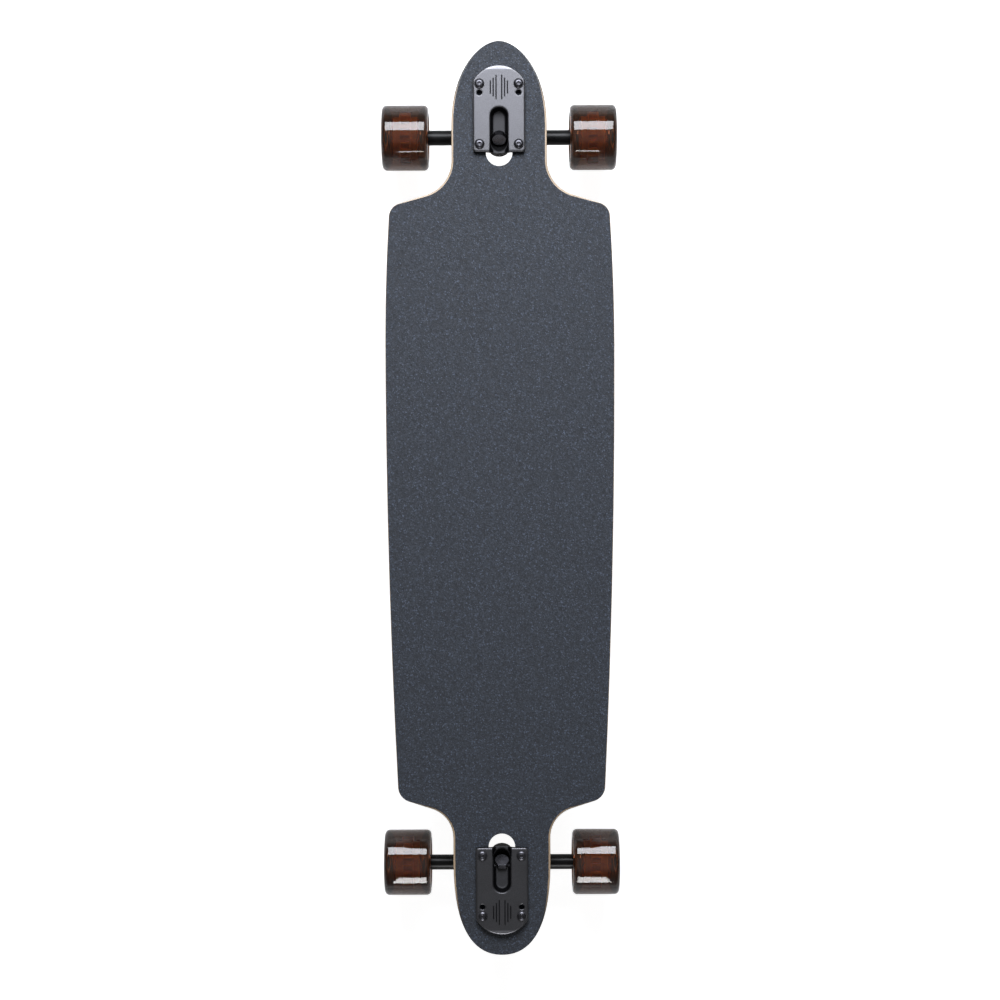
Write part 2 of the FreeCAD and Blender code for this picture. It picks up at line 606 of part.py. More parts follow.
def make_hanger():
    """The cast hanger: tapered tube, web, bushing ring and pivot nub, in the swivel frame."""
    half = HANGER_WIDTH / 2
    tube = turned_about_x([
        (-half, 0), (-half, TUBE_END_RADIUS), (-TUBE_TAPER_LENGTH, TUBE_END_RADIUS), (0, TUBE_MIDDLE_RADIUS),
        (TUBE_TAPER_LENGTH, TUBE_END_RADIUS), (half, TUBE_END_RADIUS), (half, 0),
    ])
    web_half = WEB_WIDTH / 2
    bottom = -WEB_THICKNESS / 2
    waist = V((web_half + RING_RADIUS) / 2 - WEB_BOW, RING_DISTANCE / 2 - WEB_BOW, bottom)
    edges = [Part.makeLine(V(-web_half, 0, bottom), V(web_half, 0, bottom))]
    for side in (1, -1):
        edges.append(Part.Arc(
            V(side * web_half, 0, bottom), V(side * waist.x, waist.y, bottom),
            V(side * RING_RADIUS, RING_DISTANCE, bottom),
        ).toShape())
    edges.append(Part.makeLine(V(RING_RADIUS, RING_DISTANCE, bottom), V(-RING_RADIUS, RING_DISTANCE, bottom)))
    web = Part.Face(Part.Wire(Part.__sortEdges__(edges))).extrude(V(0, 0, WEB_THICKNESS))
    eye = cylinder(RING_RADIUS, V(0, RING_DISTANCE, -RING_THICKNESS / 2), RING_THICKNESS, Z_AXIS)
    neck = cylinder(PIVOT_NECK_RADIUS, V(0, -PIVOT_DISTANCE, 0), PIVOT_DISTANCE, Y_AXIS)
    ball = Part.makeSphere(PIVOT_BALL_RADIUS, V(0, -PIVOT_DISTANCE, 0))
    body = tube.fuse([web, eye, neck, ball]).removeSplitter()

    seat = BUSHING_RADIUS + BUSHING_SEAT_CLEARANCE
    cuts = [cylinder(RING_BORE_RADIUS, V(0, RING_DISTANCE, -RING_THICKNESS), 2 * RING_THICKNESS, Z_AXIS)]
    cuts.append(cylinder(seat, V(0, RING_DISTANCE, BUSHING_SEAT), RING_THICKNESS, Z_AXIS))
    cuts.append(cylinder(seat, V(0, RING_DISTANCE, -BUSHING_SEAT), RING_THICKNESS, -Z_AXIS))
    cuts.append(cylinder(AXLE_RADIUS + AXLE_CLEARANCE, V(-half, 0, 0), HANGER_WIDTH, X_AXIS))
    return body.cut(cuts).removeSplitter()


def make_axle():
    """The steel rod through the hanger and both wheels, about the truck's axle line."""
    return cylinder(AXLE_RADIUS, V(-AXLE_HALF, 0, 0), 2 * AXLE_HALF, X_AXIS)


def make_axle_nuts():
    """The lock nuts at both ends of the axle."""
    nuts = []
    start = WHEEL_CENTRE_X + WHEEL_CORE_HALF + SPEED_WASHER_THICKNESS
    for turn in (90, -90):
        nut = chamfered_hexagon(AXLE_NUT_FLATS, AXLE_NUT_HEIGHT, V(0, 0, start))
        nut = nut.cut(cylinder(AXLE_RADIUS + AXLE_CLEARANCE, V(0, 0, start), AXLE_NUT_HEIGHT, Z_AXIS))
        nuts.append(placed(nut, Placement(V(0, 0, 0), Rotation(Y_AXIS, turn))))
    return Part.makeCompound(nuts)


def make_speed_washers():
    """The thin washers on each side of both wheels' bearings."""
    washers = []
    for side in (-1, 1):
        for edge in (-1, 1):
            middle = WHEEL_CORE_HALF + SPEED_WASHER_THICKNESS / 2
            x = side * WHEEL_CENTRE_X + edge * middle - SPEED_WASHER_THICKNESS / 2
            washers.append(ring(
                SPEED_WASHER_RADIUS, AXLE_RADIUS + AXLE_CLEARANCE, SPEED_WASHER_THICKNESS, V(x, 0, 0), X_AXIS
            ))
    return Part.makeCompound(washers)


def bearing_middles():
    """The middles of a wheel's two bearings along its axle."""
    offset = (BEARING_SPACING + BEARING_WIDTH) / 2
    return (-offset, offset)


def race():
    """The groove that the balls run in."""
    return Part.makeTorus(BALL_PITCH_RADIUS, BALL_RADIUS + RACE_CLEARANCE, V(0, 0, 0), X_AXIS)


def make_inner_rings():
    """The four inner rings that the axle nuts clamp."""
    bore = AXLE_RADIUS + AXLE_CLEARANCE
    inner = ring(INNER_RING_RADIUS, bore, BEARING_WIDTH, V(-BEARING_WIDTH / 2, 0, 0), X_AXIS).cut(race())
    places = [side * WHEEL_CENTRE_X + middle for side in (-1, 1) for middle in bearing_middles()]
    return Part.makeCompound([placed(inner, Placement(V(x, 0, 0), Rotation())) for x in places])


def make_spacers():
    """The tube between the two bearings of each wheel."""
    return Part.makeCompound([
        ring(
            SPACER_RADIUS, AXLE_RADIUS + AXLE_CLEARANCE, BEARING_SPACING,
            V(side * WHEEL_CENTRE_X - BEARING_SPACING / 2, 0, 0), X_AXIS,
        )
        for side in (-1, 1)
    ])


def make_mounting_bolts():
    """The four socket-head bolts that hold a truck, in the truck's frame."""
    length = BOLT_GRIP + NUT_HEIGHT + BOLT_TIP
    crown = BOLT_HEAD_HEIGHT
    rise = crown - BOLT_HEAD_SIDE
    dome_radius = (BOLT_HEAD_RADIUS ** 2 + rise ** 2) / (2 * rise)
    head = cylinder(BOLT_HEAD_RADIUS, V(0, 0, 0), crown, Z_AXIS)
    head = head.common(Part.makeSphere(dome_radius, V(0, 0, crown - dome_radius)))
    bolt = cylinder(BOLT_RADIUS, V(0, 0, -length), length, Z_AXIS).fuse(head).removeSplitter()
    bolt = bolt.cut(hexagon(BOLT_SOCKET_FLATS, crown, V(0, 0, crown - BOLT_SOCKET_DEPTH)))
    return Part.makeCompound([placed(bolt, Placement(place, Rotation())) for place in bolt_places()])


def make_mounting_nuts():
    """The four lock nuts under the deck, in the truck's frame."""
    low = -BOLT_GRIP - NUT_HEIGHT
    nut = chamfered_hexagon(NUT_FLATS, NUT_HEIGHT, V(0, 0, low))
    nut = nut.cut(cylinder(BOLT_RADIUS + AXLE_CLEARANCE, V(0, 0, low), NUT_HEIGHT, Z_AXIS))
    return Part.makeCompound([placed(nut, Placement(place, Rotation())) for place in bolt_places()])


def make_tyre():
    """The urethane tyre, with rounded lips and dished cheeks, about its own axle."""
    half = WHEEL_WIDTH / 2
    radius = WHEEL_DIAMETER / 2
    lip = TYRE_LIP_RADIUS
    core_half = WHEEL_CORE_HALF + CORE_OVERHANG
    diagonal = lip * math.sqrt(0.5)
    dish = (half - core_half) * TYRE_DISH_SHARE
    edges = []
    for side in (-1, 1):
        lip_top = V(side * (half - lip), radius, 0)
        lip_middle = V(side * (half - lip + diagonal), radius - lip + diagonal, 0)
        lip_end = V(side * half, radius - lip, 0)
        cheek = V(side * half, TYRE_CHEEK_RADIUS, 0)
        dish_middle = V(side * (core_half + dish), (TYRE_CHEEK_RADIUS + CORE_RADIUS) / 2, 0)
        foot = V(side * core_half, CORE_RADIUS, 0)
        rib_foot = V(side * CORE_RIB_WIDTH / 2, CORE_RADIUS, 0)
        rib_top = V(side * CORE_RIB_WIDTH / 2, CORE_RIB_RADIUS, 0)
        edges += [
            Part.Arc(lip_top, lip_middle, lip_end).toShape(),
            Part.makeLine(lip_end, cheek),
            Part.Arc(cheek, dish_middle, foot).toShape(),
            Part.makeLine(foot, rib_foot),
            Part.makeLine(rib_foot, rib_top),
        ]
    edges.append(Part.makeLine(V(lip - half, radius, 0), V(half - lip, radius, 0)))
    edges.append(Part.makeLine(
        V(-CORE_RIB_WIDTH / 2, CORE_RIB_RADIUS, 0), V(CORE_RIB_WIDTH / 2, CORE_RIB_RADIUS, 0)
    ))
    section = Part.Face(Part.Wire(Part.__sortEdges__(edges)))
    return section.revolve(V(0, 0, 0), X_AXIS, 360)


def make_core():
    """The moulded hub inside the tyre, with a seat for each bearing."""
    half = WHEEL_CORE_HALF + CORE_OVERHANG
    rib = CORE_RIB_WIDTH / 2
    shoulder_x = BEARING_SPACING / 2
    return turned_about_x([
        (-half, BEARING_RADIUS), (-half, CORE_RADIUS), (-rib, CORE_RADIUS), (-rib, CORE_RIB_RADIUS),
        (rib, CORE_RIB_RADIUS), (rib, CORE_RADIUS), (half, CORE_RADIUS), (half, BEARING_RADIUS),
        (shoulder_x, BEARING_RADIUS), (shoulder_x, CORE_BORE_RADIUS),
        (-shoulder_x, CORE_BORE_RADIUS), (-shoulder_x, BEARING_RADIUS),
    ])


def make_outer_rings():
    """The two outer rings in a core, about the wheel's axle."""
    start = V(-BEARING_WIDTH / 2, 0, 0)
    outer = ring(BEARING_RADIUS, OUTER_RING_INNER_RADIUS, BEARING_WIDTH, start, X_AXIS).cut(race())
    return Part.makeCompound([placed(outer, Placement(V(x, 0, 0), Rotation())) for x in bearing_middles()])


def make_shields():
    """The shield in each face of the two bearings."""
    shields = []
    inner = INNER_RING_RADIUS + SHIELD_GAP
    for middle in bearing_middles():
        for side in (-1, 1):
            face = side * (BEARING_WIDTH / 2 - SHIELD_RECESS - SHIELD_THICKNESS / 2)
            start = V(middle + face - SHIELD_THICKNESS / 2, 0, 0)
            shields.append(ring(OUTER_RING_INNER_RADIUS, inner, SHIELD_THICKNESS, start, X_AXIS))
    return Part.makeCompound(shields)


def ball_ring_point(index):
    """A place on the balls' pitch circle, counted in balls."""
    angle = 2 * math.pi * index / BALL_COUNT
    return V(0, BALL_PITCH_RADIUS * math.cos(angle), BALL_PITCH_RADIUS * math.sin(angle))


def make_balls():
    """The balls of a wheel's two bearings."""
    return Part.makeCompound([
        Part.makeSphere(BALL_RADIUS, ball_ring_point(i) + V(middle, 0, 0))
        for middle in bearing_middles() for i in range(BALL_COUNT)
    ])


def make_cages():
    """The crown cage of each bearing: a ring with a post between each two balls."""
    back = BALL_RADIUS + RACE_CLEARANCE
    crown = ring(
        BALL_PITCH_RADIUS + CAGE_RING_WIDTH / 2, BALL_PITCH_RADIUS - CAGE_RING_WIDTH / 2,
        CAGE_RING_THICKNESS, V(back, 0, 0), X_AXIS,
    )
    posts = [
        cylinder(CAGE_POST_RADIUS, ball_ring_point(i + 0.5) + V(-BALL_RADIUS / 2, 0, 0),
                 back + CAGE_RING_THICKNESS + BALL_RADIUS / 2, X_AXIS)
        for i in range(BALL_COUNT)
    ]
    cage = crown.fuse(posts).removeSplitter()
    return Part.makeCompound([placed(cage, Placement(V(x, 0, 0), Rotation())) for x in bearing_middles()])


def truck_pieces():
    """One truck's pieces in the truck's own frame."""
    axle_line = Placement(AXLE_CENTRE, Rotation())
    boardside = make_bushing(BOARDSIDE_BUSHING_HEIGHT, BUSHING_RADIUS, BUSHING_RADIUS, BUSHING_SEAT, 1)
    roadside = make_bushing(
        ROADSIDE_BUSHING_HEIGHT, BUSHING_RADIUS, ROADSIDE_BUSHING_TIP_RADIUS, -BUSHING_SEAT, -1
    )
    return {
        "baseplate": make_baseplate(),
        "pivot_cup": placed(make_pivot_cup(), SWIVEL),
        "kingpin": placed(make_kingpin(), SWIVEL),
        "kingpin_nut": placed(make_kingpin_nut(), SWIVEL),
        "bushing_washers": placed(make_bushing_washers(), SWIVEL),
        "boardside_bushing": placed(boardside, SWIVEL),
        "roadside_bushing": placed(roadside, SWIVEL),
        "hanger": placed(make_hanger(), SWIVEL),
        "mounting_bolts": make_mounting_bolts(),
        "mounting_nuts": make_mounting_nuts(),
        "axle": placed(make_axle(), axle_line),
        "axle_nuts": placed(make_axle_nuts(), axle_line),
        "speed_washers": placed(make_speed_washers(), axle_line),
        "bearing_inner_rings": placed(make_inner_rings(), axle_line),
        "bearing_spacers": placed(make_spacers(), axle_line),
    }


def wheel_pieces():
    """One wheel's pieces about its own axle."""
    return {
        "tyre": make_tyre(),
        "core": make_core(),
        "bearing_outer_rings": make_outer_rings(),
        "bearing_shields": make_shields(),
        "bearing_balls": make_balls(),
        "bearing_cages": make_cages(),
    }


def main():
    save("deck", make_deck())
    save("grip_tape", make_grip())
    truck = truck_pieces()
    wheel = wheel_pieces()
    for end, place in TRUCKS.items():
        for name, shape in truck.items():
            save(f"{end}_{name}", placed(shape, place))
        for side, sign in (("left", -1), ("right", 1)):
            hub = Placement(V(sign * WHEEL_CENTRE_X, place.multVec(AXLE_CENTRE).y, AXLE_Z), Rotation())
            for name, shape in wheel.items():
                save(f"{end}_{side}_{name}", placed(shape, hub))


main()
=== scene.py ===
import json
import math

import bmesh
import bpy
from mathutils import Matrix, Vector


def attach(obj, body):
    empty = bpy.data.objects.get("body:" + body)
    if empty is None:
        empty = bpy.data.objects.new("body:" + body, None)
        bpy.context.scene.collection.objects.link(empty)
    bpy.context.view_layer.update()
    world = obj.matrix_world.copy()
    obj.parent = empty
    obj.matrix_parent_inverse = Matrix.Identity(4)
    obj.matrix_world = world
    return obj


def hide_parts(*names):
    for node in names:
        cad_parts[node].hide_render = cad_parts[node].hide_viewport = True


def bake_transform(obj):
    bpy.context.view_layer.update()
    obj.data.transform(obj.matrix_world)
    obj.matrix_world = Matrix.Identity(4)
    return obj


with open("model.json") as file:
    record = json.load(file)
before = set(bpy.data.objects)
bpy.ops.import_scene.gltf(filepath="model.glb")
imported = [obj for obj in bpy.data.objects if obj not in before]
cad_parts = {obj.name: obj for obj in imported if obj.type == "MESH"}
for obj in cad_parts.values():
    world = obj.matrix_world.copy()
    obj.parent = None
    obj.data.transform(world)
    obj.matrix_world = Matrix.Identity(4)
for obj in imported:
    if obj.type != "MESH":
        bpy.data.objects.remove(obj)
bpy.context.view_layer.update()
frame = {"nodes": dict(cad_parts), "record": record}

# Sizes are in metres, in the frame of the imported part: +Y is the nose, +X the right side, +Z up.
MM = 0.001
DECK_TOP = 93.7 * MM
DECK_THICKNESS = 10.0 * MM
PLIES = 7
CONCAVE_FLAT = 35.0 * MM
CONCAVE_RADIUS = 622.2 * MM
PLATE_TOP = 101.0 * MM
SLOT_FLOOR = 90.0 * MM
PLATE_OUTER_REACH = 51.5 * MM
BOLT_ACROSS = 41.275 * MM
BOLT_ALONG = 63.5 * MM
WHEEL_RADIUS = 35.0 * MM
WHEEL_X = 101.3 * MM
AXLE_Z = 35.0 * MM
AXLE_Y = {"front": 390.1 * MM, "rear": -394.2 * MM}
TRUCK_Y = {"front": 404.1 * MM, "rear": -408.2 * MM}
TRUCKS = {
    "front": Matrix.Translation((0, TRUCK_Y["front"], PLATE_TOP)),
    "rear": Matrix.Translation((0, TRUCK_Y["rear"], PLATE_TOP)) @ Matrix.Rotation(math.pi, 4, "Z"),
}
# Half-way between the two baseplates, and from there to their outer ends.
PLATES_MIDDLE = (TRUCK_Y["front"] + TRUCK_Y["rear"]) / 2
PLATES_REACH = (TRUCK_Y["front"] - TRUCK_Y["rear"]) / 2 + PLATE_OUTER_REACH
# The axle's middle, seen from the plate's top, with the slanted line that the hanger leans about as its own Y.
SWIVEL = Matrix.Translation((0, -14.0 * MM, -66.0 * MM)) @ Matrix.Rotation(math.radians(50), 4, "X")
RING_DISTANCE = 36.0 * MM
SIDES = {"left": -1, "right": 1}

scene = bpy.context.scene


def linear(code):
    """An sRGB hex colour as linear RGBA."""
    channels = [int(code[i:i + 2], 16) / 255 for i in (1, 3, 5)]
    return [c / 12.92 if c <= 0.04045 else ((c + 0.055) / 1.055) ** 2.4 for c in channels] + [1.0]


def node(tree, kind, inputs=None, **settings):
    """Add a node, set it up, and set or link its inputs."""
    made = tree.nodes.new(kind)
    for key, value in settings.items():
        setattr(made, key, value)
    for key, value in (inputs or {}).items():
        if isinstance(value, bpy.types.NodeSocket):
            tree.links.new(value, made.inputs[key])
        else:
            made.inputs[key].default_value = value
    return made


def new_material(name, **inputs):
    """A material, its tree and its shader, with the shader's own sockets set."""
    material = bpy.data.materials.new(name)
    material.use_nodes = True
    shader = material.node_tree.nodes["Principled BSDF"]
    for key, value in inputs.items():
        shader.inputs[key.replace("_", " ")].default_value = value
    return material, material.node_tree, shader


def blend_ramp(tree, factor, stops):
    """A colour ramp through sRGB hex colours."""
    ramp = node(tree, "ShaderNodeValToRGB", {"Fac": factor})
    elements = ramp.color_ramp.elements
    while len(elements) < len(stops):
        elements.new(1.0)
    for element, (place, code) in zip(elements, stops):
        element.position = place
        element.color = linear(code)
    return ramp.outputs["Color"]


# Materials


def make_grip_tape():
    """Silicon carbide grit on black paper: a matt charcoal field of grains in random tones, the lightest bluish
    ones partly painted glints.
    """
    # Real grit is about 0.25 mm, too fine to show here, so it is drawn coarser.
    grit = 1.1 * MM
    material, tree, shader = new_material("silicon_carbide_grip", Specular_IOR_Level=0.25)
    place = node(tree, "ShaderNodeTexCoord").outputs["Object"]
    grain = node(tree, "ShaderNodeTexVoronoi", {"Vector": place, "Scale": 1 / grit})
    pick = node(tree, "ShaderNodeSeparateColor", {"Color": grain.outputs["Color"]})
    # The lightest bluish grains are partly real grit colour and partly painted glints.
    colour = blend_ramp(tree, pick.outputs["Red"], [
        (0.0, "#1e2128"), (0.5, "#2a2f37"), (0.9, "#353c47"), (1.0, "#4c5566"),
    ])
    tree.links.new(colour, shader.inputs["Base Color"])
    rough = node(tree, "ShaderNodeMapRange", {"Value": pick.outputs["Green"], "To Min": 0.6, "To Max": 0.85})
    tree.links.new(rough.outputs["Result"], shader.inputs["Roughness"])
    bump = node(tree, "ShaderNodeBump", {
        "Height": grain.outputs["Distance"], "Strength": 0.5, "Distance": 0.5 * MM,
    })
    tree.links.new(bump.outputs["Normal"], shader.inputs["Normal"])
    return material


def make_maple():
    """Seven-ply maple under clear lacquer: pale long grain, with the plies as fine lines along the edge."""
    material, tree, shader = new_material("lacquered_maple_ply", Coat_Weight=0.25, Coat_Roughness=0.15)
    place = node(tree, "ShaderNodeTexCoord").outputs["Object"]
    axes = node(tree, "ShaderNodeSeparateXYZ", {"Vector": place})
    across = node(tree, "ShaderNodeMath", {0: axes.outputs["X"]}, operation="ABSOLUTE")
    along = node(tree, "ShaderNodeMath", {0: axes.outputs["Y"]}, operation="ABSOLUTE")
    away = node(tree, "ShaderNodeMath", {0: across.outputs[0], 1: CONCAVE_FLAT}, operation="SUBTRACT")
    away = node(tree, "ShaderNodeMath", {0: away.outputs[0], 1: 0.0}, operation="MAXIMUM")
    rise = node(tree, "ShaderNodeMath", {0: away.outputs[0], 1: 2.0}, operation="POWER")
    rise = node(tree, "ShaderNodeMath", {0: rise.outputs[0], 1: 2 * CONCAVE_RADIUS}, operation="DIVIDE")
    height = node(tree, "ShaderNodeMath", {0: axes.outputs["Z"], 1: rise.outputs[0]}, operation="SUBTRACT")
    ply = node(tree, "ShaderNodeMapRange", {
        "Value": height.outputs[0], "From Min": DECK_TOP - DECK_THICKNESS, "From Max": DECK_TOP,
        "To Min": 0.02, "To Max": PLIES - 0.02,
    })
    layer = node(tree, "ShaderNodeMath", {0: ply.outputs["Result"]}, operation="FLOOR")
    tone = node(tree, "ShaderNodeTexWhiteNoise", {"W": layer.outputs[0]}, noise_dimensions="1D")
    inner = node(tree, "ShaderNodeClamp", {"Value": ply.outputs["Result"], "Min": 0.5, "Max": PLIES - 0.5})
    seam = node(tree, "ShaderNodeMath", {0: inner.outputs[0], 1: 0.5}, operation="PINGPONG")
    glue = node(tree, "ShaderNodeMapRange", {
        "Value": seam.outputs[0], "From Min": 0.05, "From Max": 0.16, "To Min": 1.0, "To Max": 0.0,
    })
    grain_width, grain_length = 2.4 * MM, 70 * MM
    stretch = node(tree, "ShaderNodeMapping", {
        "Vector": place, "Scale": (1 / grain_width, 1 / grain_length, 1 / grain_width),
    })
    grain = node(tree, "ShaderNodeTexNoise", {
        "Vector": stretch.outputs["Vector"], "Scale": 1.0, "Detail": 5.0, "Roughness": 0.6, "Distortion": 0.6,
    })
    mixed = node(tree, "ShaderNodeMath", {0: tone.outputs["Value"], 1: 0.35, 2: grain.outputs["Fac"]},
                 operation="MULTIPLY_ADD")
    wood = blend_ramp(tree, mixed.outputs[0], [(0.3, "#866e58"), (0.6, "#a38a6e"), (0.95, "#bba386")])
    edge = node(tree, "ShaderNodeMix", {0: glue.outputs["Result"], 6: wood, 7: linear("#65503c")},
                data_type="RGBA")
    # The top face is painted near black in a strip down the middle, as painted shadow where the gaps round the
    # plates show it, and darker round the two ends.
    plates = node(tree, "ShaderNodeMapRange", {
        "Value": across.outputs[0], "From Min": 33 * MM, "From Max": 36 * MM, "To Min": 1.0, "To Max": 0.0,
    })
    ends = node(tree, "ShaderNodeMapRange", {
        "Value": along.outputs[0], "From Min": 412 * MM, "From Max": 440 * MM,
    })
    plate_shadow_and_dark_ends = node(tree, "ShaderNodeMath", {0: plates.outputs["Result"], 1: ends.outputs["Result"]},
                  operation="MAXIMUM")
    top = node(tree, "ShaderNodeMapRange", {
        "Value": height.outputs[0], "From Min": DECK_TOP - 1.3 * MM, "From Max": DECK_TOP - 0.9 * MM,
    })
    plate_shadow_and_dark_ends = node(tree, "ShaderNodeMath", {0: plate_shadow_and_dark_ends.outputs[0], 1: top.outputs["Result"]}, operation="MULTIPLY")
    shown = node(tree, "ShaderNodeMix", {0: plate_shadow_and_dark_ends.outputs[0], 6: edge.outputs[2], 7: linear("#2a2724")},
                 data_type="RGBA")
    tree.links.new(shown.outputs[2], shader.inputs["Base Color"])
    rough = node(tree, "ShaderNodeMapRange", {"Value": grain.outputs["Fac"], "To Min": 0.5, "To Max": 0.35})
    tree.links.new(rough.outputs["Result"], shader.inputs["Roughness"])
    bump = node(tree, "ShaderNodeBump", {
        "Height": grain.outputs["Fac"], "Strength": 0.12, "Distance": 0.2 * MM,
    })
    tree.links.new(bump.outputs["Normal"], shader.inputs["Normal"])
    return material


def make_speckled(name, dark, light, speck, smooth, rough, lift, **inputs):
    """A coat or plain surface whose tone, gloss and level vary a little from place to place."""
    material, tree, shader = new_material(name, **inputs)
    place = node(tree, "ShaderNodeTexCoord").outputs["Object"]
    fine = node(tree, "ShaderNodeTexNoise", {"Vector": place, "Scale": 1 / speck, "Detail": 3.0})
    broad = node(tree, "ShaderNodeTexNoise", {"Vector": place, "Scale": 1 / (14 * speck), "Detail": 4.0})
    colour = blend_ramp(tree, fine.outputs["Fac"], [(0.3, dark), (0.7, light)])
    tree.links.new(colour, shader.inputs["Base Color"])
    gloss = node(tree, "ShaderNodeMapRange", {
        "Value": broad.outputs["Fac"], "From Min": 0.3, "From Max": 0.7, "To Min": smooth, "To Max": rough,
    })
    tree.links.new(gloss.outputs["Result"], shader.inputs["Roughness"])
    bump = node(tree, "ShaderNodeBump", {"Height": fine.outputs["Fac"], "Strength": 0.25, "Distance": lift})
    tree.links.new(bump.outputs["Normal"], shader.inputs["Normal"])
    return material


def make_urethane():
    """Cast urethane, poured clear brown: glossy, dark where it is deep and amber where the core is near."""
    material, tree, shader = new_material(
        "clear_brown_urethane", Transmission_Weight=0.97, IOR=1.5, Specular_IOR_Level=0.3,
    )
    place = node(tree, "ShaderNodeTexCoord").outputs["Object"]
    flow = node(tree, "ShaderNodeTexNoise", {"Vector": place, "Scale": 1 / (25 * MM), "Detail": 3.0})
    tint = blend_ramp(tree, flow.outputs["Fac"], [(0.3, "#94745f"), (0.7, "#a8856d")])
    tree.links.new(tint, shader.inputs["Base Color"])
    haze = node(tree, "ShaderNodeMapRange", {"Value": flow.outputs["Fac"], "To Min": 0.02, "To Max": 0.07})
    tree.links.new(haze.outputs["Result"], shader.inputs["Roughness"])
    depth = node(tree, "ShaderNodeVolumeAbsorption", {"Color": (0.5, 0.36, 0.28, 1.0), "Density": 74.0})
    tree.links.new(depth.outputs["Volume"], tree.nodes["Material Output"].inputs["Volume"])
    return material


def make_coat():
    """Black anodised casting: the top's grey sheen is painted into its colour, the slot's walls are painted
    darker as shade, and the slot and the arm stay dull and dark.
    """
    material, tree, shader = new_material("black_anodised_casting", Metallic=1.0)
    place = node(tree, "ShaderNodeTexCoord").outputs["Object"]
    axes = node(tree, "ShaderNodeSeparateXYZ", {"Vector": place})
    peel = node(tree, "ShaderNodeTexNoise", {"Vector": place, "Scale": 1 / (0.9 * MM), "Detail": 3.0})
    height = node(tree, "ShaderNodeMapRange", {
        "Value": axes.outputs["Z"], "From Min": SLOT_FLOOR - 5 * MM, "From Max": PLATE_TOP,
    })
    shaded_walls, sheen_top = 0.87, 0.91
    # From below upwards: the arm, the slot's floor, the walls painted dark as shade, and the top painted lighter
    # as a sheen.
    tone = blend_ramp(tree, height.outputs["Result"], [
        (0.2, "#151516"), (0.3, "#3e3e40"), (0.33, "#3e3e40"),
        (0.4, "#0e0e10"), (shaded_walls, "#0e0e10"), (sheen_top, "#4e4e51"),
    ])
    # The last millimetres of each plate are painted brighter, a painted highlight on the rounded end, which shows
    # as a crescent.
    along = node(tree, "ShaderNodeMath", {0: axes.outputs["Y"], 1: -PLATES_MIDDLE}, operation="ADD")
    along = node(tree, "ShaderNodeMath", {0: along.outputs[0]}, operation="ABSOLUTE")
    painted_crescent = node(tree, "ShaderNodeMapRange", {
        "Value": along.outputs[0], "From Min": PLATES_REACH - 4.8 * MM, "From Max": PLATES_REACH - 4.2 * MM,
    })
    tone = node(tree, "ShaderNodeMix", {0: painted_crescent.outputs["Result"], 6: tone, 7: linear("#727277")},
                data_type="RGBA")
    worn = blend_ramp(tree, peel.outputs["Fac"], [(0.3, "#e0e0e0"), (0.7, "#ffffff")])
    colour = node(tree, "ShaderNodeMix", {0: 1.0, 6: tone.outputs[2], 7: worn},
                  data_type="RGBA", blend_type="MULTIPLY")
    tree.links.new(colour.outputs[2], shader.inputs["Base Color"])
    broad = node(tree, "ShaderNodeTexNoise", {"Vector": place, "Scale": 1 / (12 * MM), "Detail": 4.0})
    dull = node(tree, "ShaderNodeMapRange", {
        "Value": height.outputs["Result"], "From Min": shaded_walls, "From Max": sheen_top,
        "To Min": 0.7, "To Max": 0.36,
    })
    gloss = node(tree, "ShaderNodeMath", {0: broad.outputs["Fac"], 1: 0.08, 2: dull.outputs["Result"]},
                 operation="MULTIPLY_ADD")
    tree.links.new(gloss.outputs[0], shader.inputs["Roughness"])
    bump = node(tree, "ShaderNodeBump", {"Height": peel.outputs["Fac"], "Strength": 0.25, "Distance": 0.04 * MM})
    tree.links.new(bump.outputs["Normal"], shader.inputs["Normal"])
    return material


# Gloss black enamel on the hangers: deep black with one tight line of light along the tube.
GLOSS_ENAMEL = make_speckled(
    "gloss_black_enamel", "#0b0b0c", "#121213", 1.2 * MM, 0.26, 0.36, 0.03 * MM, Specular_IOR_Level=0.13,
)
FINISHES = {
    "grip": make_grip_tape(),
    "deck_wood": make_maple(),
    "truck_casting": make_coat(),
    # Black oxide on forged steel: near black, with tight bright rings where it turns to the light.
    "black_steel": make_speckled(
        "black_oxide_steel", "#3c3c40", "#4c4c51", 0.7 * MM, 0.24, 0.36, 0.02 * MM, Metallic=1.0,
    ),
    # Bright zinc on drawn steel: pale grey with a soft streaky gloss.
    "axle_steel": make_speckled(
        "zinc_plated_steel", "#8f9193", "#b4b6b8", 0.8 * MM, 0.28, 0.42, 0.02 * MM, Metallic=1.0,
    ),
    # Ground bearing steel: bright, clean and mirror-like.
    "bearing_steel": make_speckled(
        "ground_bearing_steel", "#b9bbbd", "#d2d4d6", 0.5 * MM, 0.12, 0.22, 0.01 * MM, Metallic=1.0,
    ),
    # Moulded rubber seal on steel: flat black with a dull bloom.
    "bearing_shield": make_speckled(
        "moulded_rubber_seal", "#151515", "#1f1f20", 0.6 * MM, 0.5, 0.65, 0.02 * MM,
    ),
    # Natural nylon: creamy, waxy and slightly see-through in thin places.
    "cage_plastic": make_speckled(
        "natural_nylon", "#d8cdb4", "#e8e0cc", 0.6 * MM, 0.35, 0.5, 0.02 * MM,
    ),
    "wheel_urethane": make_urethane(),
    # Amber nylon core: a warm glow through the tyre.
    "wheel_core": make_speckled(
        "amber_nylon_core", "#ee9a34", "#ffb44e", 1.5 * MM, 0.3, 0.45, 0.03 * MM,
    ),
    # Poured bushing urethane: waxy dark amber, with a soft skin.
    "bushing_urethane": make_speckled(
        "amber_bushing_urethane", "#8a4716", "#a85b20", 1.5 * MM, 0.25, 0.4, 0.03 * MM,
        Subsurface_Weight=0.3, Subsurface_Scale=0.003,
    ),
    # Injected pivot urethane: dull black rubber.
    "pivot_urethane": make_speckled(
        "black_pivot_urethane", "#1a1919", "#252424", 1.0 * MM, 0.45, 0.6, 0.03 * MM,
    ),
}


# Mesh tools


